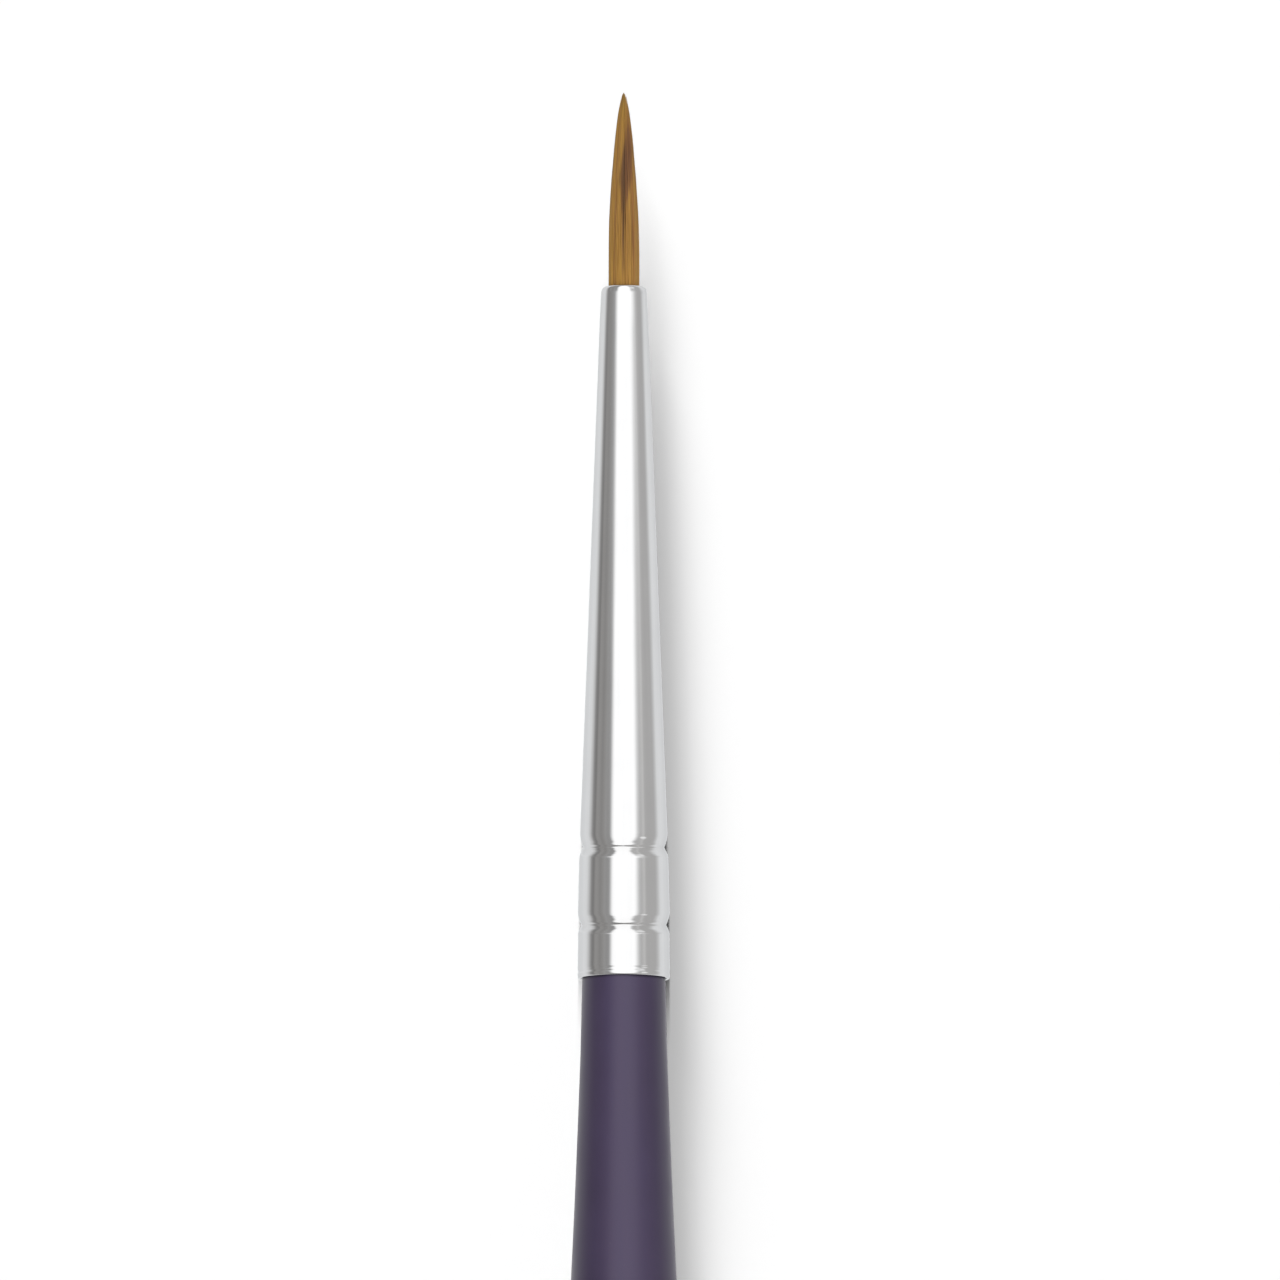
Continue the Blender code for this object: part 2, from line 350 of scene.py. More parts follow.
def turned_piece(name, rings, segments, finish, loop):
    """A piece of revolution from rings of (u, radius, crimp depth, edge).

    The last two stay on the mesh as the attributes "crimp" and "edge", for the finishes to read.
    With loop, the last ring joins the first; otherwise both ends are closed flat.
    """
    shape = bmesh.new()
    crimp = shape.verts.layers.float.new("crimp")
    worn = shape.verts.layers.float.new("edge")
    deepest = max(depth for _, keys in CRIMPS for _, depth in keys)
    loops = []
    for u, radius, depth, edge in rings:
        ring = []
        slant = crimp_slant(u)
        for k in range(segments):
            angle = 2 * math.pi * k / segments
            uneven = 1 + 0.10 * math.sin(2 * angle + 0.5) + 0.06 * math.sin(5 * angle + 2 * u)
            r = radius - depth * uneven
            y = MOUTH_Y - u - slant * math.sin(angle)
            point = shape.verts.new((r * math.cos(angle), y, AXIS_Z + r * math.sin(angle)))
            # On the handle this mark is the painted shadow under the ferrule's rim.
            point[crimp] = depth / deepest
            point[worn] = edge
            ring.append(point)
        loops.append(ring)
    pairs = list(zip(loops, loops[1:])) + ([(loops[-1], loops[0])] if loop else [])
    for a, b in pairs:
        for k in range(segments):
            n = (k + 1) % segments
            shape.faces.new((a[k], a[n], b[n], b[k]))
    if not loop:
        shape.faces.new(loops[0])
        shape.faces.new(loops[-1])
    return finished_object(name, shape, finish)


# ---- node helpers ----
def node(tree, kind, inputs=None, **settings):
    """A node with its settings, and its inputs set or linked."""
    made = tree.nodes.new(kind)
    for key, value in settings.items():
        setattr(made, key, value)
    for key, value in (inputs or {}).items():
        if isinstance(value, bpy.types.NodeSocket):
            tree.links.new(value, made.inputs[key])
        else:
            made.inputs[key].default_value = value
    return made


def math_node(tree, operation, a, b=0.0, clamp=False):
    made = node(tree, "ShaderNodeMath", {0: a, 1: b}, operation=operation, use_clamp=clamp)
    return made.outputs[0]


def mapped(tree, value, low, high, to_low=0.0, to_high=1.0, smooth=False):
    kind = "SMOOTHSTEP" if smooth else "LINEAR"
    made = node(
        tree,
        "ShaderNodeMapRange",
        {"Value": value, "From Min": low, "From Max": high, "To Min": to_low, "To Max": to_high},
        interpolation_type=kind,
    )
    return made.outputs["Result"]


def mixed(tree, share, a, b):
    made = node(tree, "ShaderNodeMix", data_type="RGBA")
    for key, value in ((0, share), (6, a), (7, b)):
        if isinstance(value, bpy.types.NodeSocket):
            tree.links.new(value, made.inputs[key])
        else:
            made.inputs[key].default_value = value if key == 0 else (*value, 1.0)
    return made.outputs[2]


def ramp(tree, value, stops):
    """A colour ramp of (place, colour) stops."""
    made = node(tree, "ShaderNodeValToRGB", {"Fac": value})
    elements = made.color_ramp.elements
    while len(elements) > 1:
        elements.remove(elements[-1])
    for i, (place, colour) in enumerate(stops):
        element = elements[0] if i == 0 else elements.new(place)
        element.position = place
        element.color = (*colour, 1.0)
    return made.outputs["Color"]


def group(name, inputs, outputs):
    """An empty node group with float inputs {name: default} and outputs."""
    tree = bpy.data.node_groups.new(name, "ShaderNodeTree")
    for key, default in inputs.items():
        socket = tree.interface.new_socket(name=key, in_out="INPUT", socket_type="NodeSocketFloat")
        socket.default_value = default
    for key in outputs:
        tree.interface.new_socket(name=key, in_out="OUTPUT", socket_type="NodeSocketFloat")
    return tree, tree.nodes.new("NodeGroupInput").outputs, tree.nodes.new("NodeGroupOutput").inputs


def placed(tree, made, **inputs):
    """A node group placed in a material with its own values. Input names use _ for a space."""
    used = node(tree, "ShaderNodeGroup", node_tree=made)
    for key, value in inputs.items():
        socket = used.inputs[key.replace("_", " ")]
        if isinstance(value, bpy.types.NodeSocket):
            tree.links.new(value, socket)
        else:
            socket.default_value = value
    return used.outputs


def new_material(name):
    made = bpy.data.materials.new(name)
    made.use_nodes = True
    tree = made.node_tree
    return made, tree, tree.nodes["Principled BSDF"].inputs


def bumped(tree, height, strength, distance):
    made = node(
        tree,
        "ShaderNodeBump",
        {"Height": height, "Strength": strength, "Distance": distance},
    )
    return made.outputs["Normal"]


# ---- shared surface effects ----
def make_lengthwise_grain():
    """Fine streaks along the brush, as drawing, turning along the grain and combing leave."""
    tree, given, made = group(
        "lengthwise_grain",
        {"Streaks Across": 6.0, "Streaks Along": 0.15, "Detail": 3.0, "Contrast": 1.0},
        ["Grain"],
    )
    place = node(tree, "ShaderNodeTexCoord").outputs["Object"]
    split = node(tree, "ShaderNodeSeparateXYZ", {"Vector": place}).outputs
    across = math_node(tree, "DIVIDE", given["Streaks Across"], MM)
    along = math_node(tree, "DIVIDE", given["Streaks Along"], MM)
    stretched = node(
        tree,
        "ShaderNodeCombineXYZ",
        {
            "X": math_node(tree, "MULTIPLY", split["X"], across),
            "Y": math_node(tree, "MULTIPLY", split["Y"], along),
            "Z": math_node(tree, "MULTIPLY", split["Z"], across),
        },
    ).outputs["Vector"]
    noise = node(
        tree,
        "ShaderNodeTexNoise",
        {"Vector": stretched, "Scale": 1.0, "Detail": given["Detail"]},
    )
    centred = math_node(tree, "SUBTRACT", noise.outputs["Fac"], 0.5)
    widened = math_node(tree, "MULTIPLY", centred, given["Contrast"])
    tree.links.new(math_node(tree, "ADD", widened, 0.5, clamp=True), made["Grain"])
    return tree


def make_soft_mottle():
    """Cloudy unevenness of a given size in millimetres."""
    tree, given, made = group(
        "soft_mottle",
        {"Size": 1.0, "Detail": 2.0, "Contrast": 1.0},
        ["Mottle"],
    )
    place = node(tree, "ShaderNodeTexCoord").outputs["Object"]
    scale = math_node(tree, "DIVIDE", 1 / MM, given["Size"])
    noise = node(
        tree,
        "ShaderNodeTexNoise",
        {"Vector": place, "Scale": scale, "Detail": given["Detail"]},
    )
    centred = math_node(tree, "SUBTRACT", noise.outputs["Fac"], 0.5)
    widened = math_node(tree, "MULTIPLY", centred, given["Contrast"])
    tree.links.new(math_node(tree, "ADD", widened, 0.5, clamp=True), made["Mottle"])
    return tree


def make_fine_specks():
    """Sparse specks of dust or pinholes: a mask that is 1 in each speck."""
    tree, given, made = group(
        "fine_specks",
        {"Spacing": 0.5, "Speck Size": 0.06, "Share": 0.3},
        ["Specks"],
    )
    place = node(tree, "ShaderNodeTexCoord").outputs["Object"]
    scale = math_node(tree, "DIVIDE", 1 / MM, given["Spacing"])
    cells = node(tree, "ShaderNodeTexVoronoi", {"Vector": place, "Scale": scale}).outputs
    size = math_node(tree, "DIVIDE", given["Speck Size"], given["Spacing"])
    off_centre = math_node(tree, "DIVIDE", cells["Distance"], size)
    inside = math_node(tree, "SUBTRACT", 1.0, off_centre, clamp=True)
    picked = node(tree, "ShaderNodeSeparateColor", {"Color": cells["Color"]}).outputs["Red"]
    chosen = math_node(tree, "LESS_THAN", picked, given["Share"])
    tree.links.new(math_node(tree, "MULTIPLY", inside, chosen), made["Specks"])
    return tree


def make_edge_wear_and_groove_darkening():
    """Wear on edges, and darkening in pressed grooves and in the painted shadow under the ferrule's
    rim, from the marks that the turned pieces carry.
    """
    tree, given, made = group(
        "edge_wear_and_groove_darkening",
        {"Size": 0.3, "Edge": 1.0, "Groove": 1.0},
        ["Edge Wear", "Groove Darkening"],
    )
    mottle = placed(tree, MOTTLE, Size=given["Size"], Detail=4.0, Contrast=1.6)["Mottle"]
    edge = node(tree, "ShaderNodeAttribute", attribute_name="edge").outputs["Fac"]
    crimp = node(tree, "ShaderNodeAttribute", attribute_name="crimp").outputs["Fac"]
    for key, mark, result in (("Edge", edge, "Edge Wear"), ("Groove", crimp, "Groove Darkening")):
        strength = math_node(tree, "MULTIPLY", mark, given[key])
        patches = mapped(tree, mottle, 0.25, 0.75, 0.35, 1.0)
        patchy = math_node(tree, "MULTIPLY", strength, patches, clamp=True)
        tree.links.new(patchy, made[result])
    return tree


GRAIN = make_lengthwise_grain()
MOTTLE = make_soft_mottle()
SPECKS = make_fine_specks()
WEAR_AND_DARKENING = make_edge_wear_and_groove_darkening()


# ---- finishes ----
def grain_streaks(tree, across, along, detail, contrast):
    """The lengthwise grain at its own streak counts per millimetre across and along the brush."""
    used = placed(
        tree,
        GRAIN,
        Streaks_Across=across,
        Streaks_Along=along,
        Detail=detail,
        Contrast=contrast,
    )
    return used["Grain"]


def nickel_finish():
    """Bright nickel plate on drawn brass: faint lines along the tube, duller in the crimps."""
    made, tree, shader = new_material("bright_nickel")
    lines = grain_streaks(tree, across=5.0, along=0.05, detail=3.0, contrast=1.3)
    clouds = placed(tree, MOTTLE, Size=1.6, Detail=3.0, Contrast=1.2)["Mottle"]
    wear_and_darkening = placed(tree, WEAR_AND_DARKENING, Size=0.25, Edge=0.5, Groove=0.55)
    plate = mixed(tree, clouds, (0.640, 0.640, 0.642), (0.680, 0.680, 0.682))
    lined = mixed(tree, mapped(tree, lines, 0.2, 0.8, 0.0, 0.2), plate, (0.56, 0.56, 0.565))
    # Darker in the crimps, from the groove mark.
    darkening = math_node(tree, "MULTIPLY", wear_and_darkening["Groove Darkening"], 0.35)
    tree.links.new(mixed(tree, darkening, lined, (0.50, 0.49, 0.475)), shader["Base Color"])
    shader["Metallic"].default_value = 1.0
    shader["Specular Tint"].default_value = (0.78, 0.785, 0.79, 1.0)
    gloss = mapped(tree, lines, 0.2, 0.8, 0.085, 0.125)
    gloss = math_node(tree, "ADD", gloss, math_node(tree, "MULTIPLY", wear_and_darkening["Groove Darkening"], 0.04))
    gloss = math_node(tree, "ADD", gloss, math_node(tree, "MULTIPLY", wear_and_darkening["Edge Wear"], 0.06))
    tree.links.new(gloss, shader["Roughness"])
    tree.links.new(bumped(tree, lines, 0.25, 0.000002), shader["Normal"])
    return made


def plum_finish():
    """Satin plum lacquer, sprayed: a faint orange peel, cloudy colour and a few dust nibs."""
    made, tree, shader = new_material("satin_plum_lacquer")
    peel = placed(tree, MOTTLE, Size=0.42, Detail=1.5, Contrast=1.4)["Mottle"]
    clouds = placed(tree, MOTTLE, Size=2.6, Detail=4.0, Contrast=1.5)["Mottle"]
    grain = grain_streaks(tree, across=1.6, along=0.06, detail=3.0, contrast=1.3)
    specks = placed(tree, SPECKS, Spacing=0.7, Speck_Size=0.05, Share=0.25)["Specks"]
    wear_and_darkening = placed(tree, WEAR_AND_DARKENING, Size=0.5, Edge=0.7, Groove=1.0)
    body = mixed(tree, clouds, (0.0490, 0.0360, 0.0765), (0.0620, 0.0465, 0.0965))
    body = mixed(tree, mapped(tree, grain, 0.3, 0.7, 0.0, 0.35), body, (0.066, 0.047, 0.090))
    body = mixed(tree, math_node(tree, "MULTIPLY", specks, 0.35), body, (0.11, 0.10, 0.13))
    worn = math_node(tree, "MULTIPLY", wear_and_darkening["Edge Wear"], 0.35)
    body = mixed(tree, worn, body, (0.085, 0.070, 0.110))
    # Painted shadow of the ferrule's rim on the lacquer beside it, towards near black.
    rim_shadow = math_node(tree, "MULTIPLY", wear_and_darkening["Groove Darkening"], 0.75)
    body = mixed(tree, rim_shadow, body, (0.010, 0.008, 0.010))
    tree.links.new(body, shader["Base Color"])
    gloss = mapped(tree, clouds, 0.25, 0.75, 0.36, 0.43)
    gloss = math_node(tree, "ADD", gloss, math_node(tree, "MULTIPLY", specks, 0.15))
    tree.links.new(gloss, shader["Roughness"])
    shader["IOR"].default_value = 1.46
    relief = math_node(tree, "ADD", peel, specks)
    tree.links.new(bumped(tree, relief, 0.35, 0.000004), shader["Normal"])
    return made


HAIR_STOPS = (  # from the darkest tone to the palest
    (0.0, (0.086, 0.046, 0.024)),
    (0.30, (0.178, 0.093, 0.036)),
    (0.58, (0.400, 0.218, 0.054)),
    (0.82, (0.500, 0.295, 0.068)),
    (1.0, (0.600, 0.370, 0.130)),
)


def hair_finish(name, shade):
    """Natural hair. Each hair carries its own tone and redness, and streaks run along it.

    The shade is added to every tone: below 0 is darker, above 0 is paler.
    """
    made, tree, shader = new_material(name)
    # The tone also holds painted shade: in the partings between locks and in the mouth.
    tone = node(tree, "ShaderNodeAttribute", attribute_name="tone").outputs["Fac"]
    red = node(tree, "ShaderNodeAttribute", attribute_name="redness").outputs["Fac"]
    streaks = grain_streaks(tree, across=14.0, along=0.8, detail=3.0, contrast=1.4)
    uneven = mapped(tree, streaks, 0.2, 0.8, -0.07 + shade, 0.07 + shade)
    toned = math_node(tree, "ADD", tone, uneven, clamp=True)
    colour = ramp(tree, toned, HAIR_STOPS)
    colour = mixed(tree, math_node(tree, "MULTIPLY", red, 0.45), colour, (0.360, 0.150, 0.062))
    tree.links.new(colour, shader["Base Color"])
    tree.links.new(mapped(tree, streaks, 0.2, 0.8, 0.42, 0.56), shader["Roughness"])
    shader["Specular IOR Level"].default_value = 0.35
    tree.links.new(bumped(tree, streaks, 0.3, 0.000002), shader["Normal"])
    return made


def timber_finish():
    """Pale turned wood with its grain along the handle."""
    made, tree, shader = new_material("pale_timber")
    grain = grain_streaks(tree, across=1.8, along=0.05, detail=5.0, contrast=1.8)
    pores = grain_streaks(tree, across=9.0, along=0.5, detail=2.0, contrast=2.2)
    wood = mixed(tree, grain, (0.42, 0.27, 0.15), (0.62, 0.45, 0.27))
    wood = mixed(tree, mapped(tree, pores, 0.62, 0.8, 0.0, 0.5), wood, (0.26, 0.15, 0.08))
    tree.links.new(wood, shader["Base Color"])
    tree.links.new(mapped(tree, pores, 0.2, 0.8, 0.55, 0.75), shader["Roughness"])
    tree.links.new(bumped(tree, pores, 0.4, 0.00001), shader["Normal"])
    return made


def resin_finish(name, dark, light, gloss):
    """A set glue or cement, cloudy and a little bubbled."""
    made, tree, shader = new_material(name)
    clouds = placed(tree, MOTTLE, Size=0.9, Detail=3.0, Contrast=1.8)["Mottle"]
    bubbles = placed(tree, SPECKS, Spacing=0.35, Speck_Size=0.09, Share=0.4)["Specks"]
    tree.links.new(mixed(tree, clouds, dark, light), shader["Base Color"])
    tree.links.new(mapped(tree, clouds, 0.2, 0.8, gloss, gloss + 0.15), shader["Roughness"])
    tree.links.new(bumped(tree, bubbles, 0.5, 0.00002), shader["Normal"])
    return made


def thread_finish():
    """Twisted cotton: slanting plies and a fuzz of fibres."""
    made, tree, shader = new_material("cotton_thread")
    place = node(tree, "ShaderNodeTexCoord").outputs["Object"]
    plies = node(
        tree,
        "ShaderNodeTexWave",
        {"Vector": place, "Scale": 2600.0, "Distortion": 1.5, "Detail": 2.0},
        bands_direction="DIAGONAL",
    ).outputs["Fac"]
    fuzz = placed(tree, MOTTLE, Size=0.05, Detail=3.0, Contrast=1.6)["Mottle"]
    cotton = mixed(tree, plies, (0.62, 0.56, 0.44), (0.82, 0.78, 0.68))
    cotton = mixed(tree, math_node(tree, "MULTIPLY", fuzz, 0.3), cotton, (0.50, 0.44, 0.34))
    tree.links.new(cotton, shader["Base Color"])
    tree.links.new(mapped(tree, fuzz, 0.2, 0.8, 0.75, 0.95), shader["Roughness"])
    tree.links.new(bumped(tree, plies, 0.6, 0.00001), shader["Normal"])
    return made


# ---- the tuft, hair by hair ----
HAIR_TAPER = ((0.0, 1.0), (3.0, 0.97), (5.0, 0.84), (7.0, 0.60), (8.2, 0.40), (9.15, 0.24))
LENGTHWISE_TONE_AND_SHADE = (  # dark in the mouth as painted shade from the bore, a little paler just outside it and at the point
    (0.0, -0.24),
    (0.12, 0.0),
    (0.4, 0.08),
    (1.5, 0.03),
    (3.0, 0.0),
    (7.4, 0.0),
    (8.8, 0.16),
)
MIDDLE_TONE = 0.62
PARTING_SHADE = 0.60
LOCK_COUNT = 11
HAIR_SEED = 41
SHADED_PARTINGS = (  # painted shade in the partings between locks: (t, angle in degrees, half widths left and right of it, strength)
    (
        (0.0, 92, 6, 6, 0.15),
        (0.9, 92, 7, 7, 0.33),
        (2.0, 92, 8, 8, 0.38),
        (3.5, 91, 10, 10, 0.58),
        (4.3, 91, 13, 20, 0.75),
        (5.05, 90, 17, 40, 0.92),
        (6.2, 74, 24, 44, 1.00),
        (7.35, 57, 22, 42, 0.62),
        (8.1, 50, 15, 30, 0.15),
        (8.5, 50, 15, 30, 0.0),
    ),
    (
        (1.2, 52, 5, 5, 0.0),
        (2.1, 52, 6, 6, 0.42),
        (3.0, 52, 7, 7, 0.30),
        (3.8, 50, 8, 8, 0.25),
        (4.8, 48, 9, 9, 0.0),
    ),
    (
        (0.5, 205, 7, 7, 0.1),
        (3.0, 212, 12, 12, 0.6),
        (5.5, 222, 26, 26, 0.8),
        (7.2, 232, 20, 20, 0.4),
        (8.3, 236, 12, 12, 0.0),
    ),
    (
        (1.0, 318, 6, 6, 0.2),
        (4.0, 312, 10, 10, 0.5),
        (6.5, 306, 18, 18, 0.45),
        (8.0, 302, 10, 10, 0.0),
    ),
)


def parting_at(angle, t):
    """0 to 1, how far a place on the tuft lies in a parting's painted shade."""
    darkest = 0.0
    for keys in SHADED_PARTINGS:
        if not keys[0][0] <= t <= keys[-1][0]:
            continue
        centre, left, right, strength = (
            between([(key[0], key[i]) for key in keys], t) for i in (1, 2, 3, 4)
        )
        off = (math.degrees(angle) - centre + 180) % 360 - 180
        width = left if off > 0 else right
        darkest = max(darkest, strength * math.exp(-(abs(off) / width) ** 2.6))
    return darkest


def turn_between(start, end):
    """The shorter turn from one angle to another, in radians."""
    return (end - start + math.pi) % (2 * math.pi) - math.pi


def hair_paths():
    """Each hair as (share of the tuft's radius, [(t, x, z, radius, tone, redness)])."""
    draw = random.Random(HAIR_SEED)
    golden = math.pi * (3 - math.sqrt(5))
    locks = [2 * math.pi * (k + 0.35 * draw.uniform(-1, 1)) / LOCK_COUNT for k in range(LOCK_COUNT)]
    lock_tone = [draw.uniform(-0.09, 0.09) for _ in locks]
    lock_red = [draw.uniform(0.0, 1.0) for _ in locks]
    hairs = []
    for i in range(HAIR_COUNT):
        share = math.sqrt((i + 0.5) / HAIR_COUNT)
        seat = i * golden % (2 * math.pi)
        nearest = min(range(LOCK_COUNT), key=lambda k: abs(turn_between(locks[k], seat)))
        pull = turn_between(seat, locks[nearest])
        reach = draw.uniform(0.0, 1.0)
        short = 0.02 + 0.30 * reach**2 if share < BELLY_SHARE else 0.08 + 1.1 * reach**1.6
        end = TUFT_LENGTH + TIP_REACH - short
        wave, phase = draw.uniform(0.006, 0.022), draw.uniform(0, 2 * math.pi)
        own_tone, own_red = draw.gauss(0.0, 0.08), draw.uniform(-0.3, 0.3)
        thick = HAIR_RADIUS * draw.uniform(0.86, 1.12)
        stray = draw.uniform(0.01, 0.035) if share > 0.9 and draw.random() < 0.06 else 0.0
        stations = [HAIR_ROOT, 0.0, 0.12, 0.4]
        stations += [0.4 + (end - 0.4) * (k / 20) ** 0.86 for k in range(1, 21)]
        path = []
        for t in stations:
            envelope = between(TUFT, max(t, 0.0))
            taper = between(HAIR_TAPER, t)
            left = end - t
            point = min(1.0, math.sqrt(max(left, 0.0) / 1.1) + 0.10)
            radius = max(thick * taper * point, 0.005)
            gather = 0.02 + 0.06 * min(max(t / 6, 0.0), 1.0)
            angle = seat + gather * pull + wave * math.sin(phase + t * 1.1) * 2
            groove = parting_at(angle, t)
            outer = max(envelope - radius, 0.0)
            r = share * outer * (1 - 0.05 * groove * share) + stray * max(t - 5, 0) / 4
            r *= 1 + 0.6 * wave * math.sin(phase + t * 0.9)
            r = min(r, outer + stray)
            tone = MIDDLE_TONE + between(LENGTHWISE_TONE_AND_SHADE, t) + own_tone + lock_tone[nearest]
            # Painted shade in the partings between locks, darker and a little redder.
            tone -= PARTING_SHADE * groove
            redness = 0.30 * lock_red[nearest] + own_red + 0.40 * max(math.cos(angle), 0)
            redness += 0.2 * groove
            x = r * math.cos(angle) - TIP_LEAN * (max(t, 0.0) / TUFT_LENGTH) ** 1.2
            path.append((t, x, r * math.sin(angle), radius, tone, min(max(redness, 0.0), 1.0)))
        hairs.append((share, path))
    return hairs


def hair_bundle(name, hairs, finish):
    """Tapered tubes, one for each hair, closed at root and point."""
    shape = bmesh.new()
    tone_layer = shape.verts.layers.float.new("tone")
    red_layer = shape.verts.layers.float.new("redness")
    for turn, (_, path) in enumerate(hairs):
        rings = []
        for t, x, z, radius, tone, redness in path:
            ring = []
            for k in range(HAIR_SIDES):
                a = 2 * math.pi * (k + 0.37 * turn) / HAIR_SIDES
                side, up = radius * math.cos(a), radius * math.sin(a)
                point = shape.verts.new((x + side, MOUTH_Y + t, AXIS_Z + z + up))
                point[tone_layer] = tone
                point[red_layer] = redness
                ring.append(point)
            rings.append(ring)
        for a, b in zip(rings, rings[1:]):
            for k in range(HAIR_SIDES):
                n = (k + 1) % HAIR_SIDES
                shape.faces.new((a[k], a[n], b[n], b[k]))
        shape.faces.new(rings[0])
        shape.faces.new(rings[-1])
    return finished_object(name, shape, finish, sharp_deg=None)


# ---- the studio ----
FLOOR_HALF = 1.5
LIGHT_DISTANCE, LIGHT_POWER = 10.0, 1095.0
FLOOR_SOFTBOXES = (  # edges in degrees left of overhead, lean to the tip, length, share of light
    (-0.7, 0.9, 12.0, 12.0, 0.460),
    (6.0, 14.0, 49.0, 7.0, 0.080),
    (14.0, 22.0, 59.0, 6.0, 0.131),
    (22.0, 30.0, 63.0, 5.0, 0.155),
    (30.0, 38.0, 66.0, 4.5, 0.114),
    (38.0, 46.0, 67.0, 4.5, 0.054),
)
BRUSH_SOFTBOXES = ((-28.0, 28.0, 0.0, 12.0, 0.917),)
PANEL_GLOW, SECOND_BOUNCE_GLOW, FILL_GLOW = 1.55, 0.08, 0.05
PANEL_MIDDLE, TOWARDS_HANDLE, TOWARDS_TIP = 6.0, 41.0, 66.0  # the overhead panel, in degrees
PAST_PANEL = (0.150, 0.148, 0.145)
# what polished metal mirrors: (degrees right of overhead, brightness, warmth)
WALLS_NEAR_HANDLE = (
    (-180, 0.672, -0.01),
    (-122, 0.672, -0.01),
    (-109, 0.645, -0.01),
    (-99, 0.460, 0.00),
    (-91, 0.225, 0.01),
    (-84, 0.172, 0.02),
    (-77, 0.262, 0.02),
    (-70, 0.252, 0.02),
    (-63, 0.216, 0.02),
    (-55, 0.246, 0.02),
    (-50, 0.276, 0.01),
    (-44, 0.250, 0.01),
    (-38, 0.272, 0.00),
    (-34, 0.520, 0.00),
    (-30, 0.880, 0.00),
    (-25, 1.000, 0.00),
    (27, 1.000, 0.00),
    (31, 0.890, 0.00),
    (36, 0.640, 0.00),
    (41, 0.450, 0.00),
    (46, 0.400, 0.01),
    (50, 0.450, 0.01),
    (54, 0.475, 0.01),
    (59, 0.382, 0.01),
    (65, 0.370, 0.01),
    (88, 0.374, 0.01),
    (96, 0.470, 0.00),
    (105, 0.640, -0.01),
    (116, 0.668, -0.01),
    (180, 0.655, -0.01),
)
WALLS_NEAR_TIP = (
    (-180, 0.780, -0.01),
    (-150, 0.735, -0.01),
    (-124, 0.700, -0.01),
    (-110, 0.665, -0.01),
    (-101, 0.490, 0.00),
    (-92, 0.295, 0.01),
    (-84, 0.210, 0.02),
    (-76, 0.212, 0.02),
    (-66, 0.238, 0.02),
    (-56, 0.268, 0.01),
    (-50, 0.288, 0.00),
    (-45, 0.375, 0.00),
    (-40, 0.600, 0.00),
    (-35, 0.800, 0.00),
    (-30, 0.960, 0.00),
    (-25, 1.000, 0.00),
    (34, 1.000, 0.00),
    (39, 0.930, 0.00),
    (44, 0.850, 0.00),
    (50, 0.670, 0.00),
    (56, 0.530, 0.00),
    (63, 0.430, 0.01),
    (70, 0.375, 0.01),
    (88, 0.362, 0.01),
    (98, 0.445, 0.00),
    (110, 0.590, -0.01),
    (122, 0.668, -0.01),
    (180, 0.655, -0.01),
)
WINDOWS = (  # middle and half width across, middle and half width along, brightness
    (47.0, 14.0, 34.0, 10.0, 0.68),
    (54.0, 10.0, -10.0, 4.5, 0.76),
)


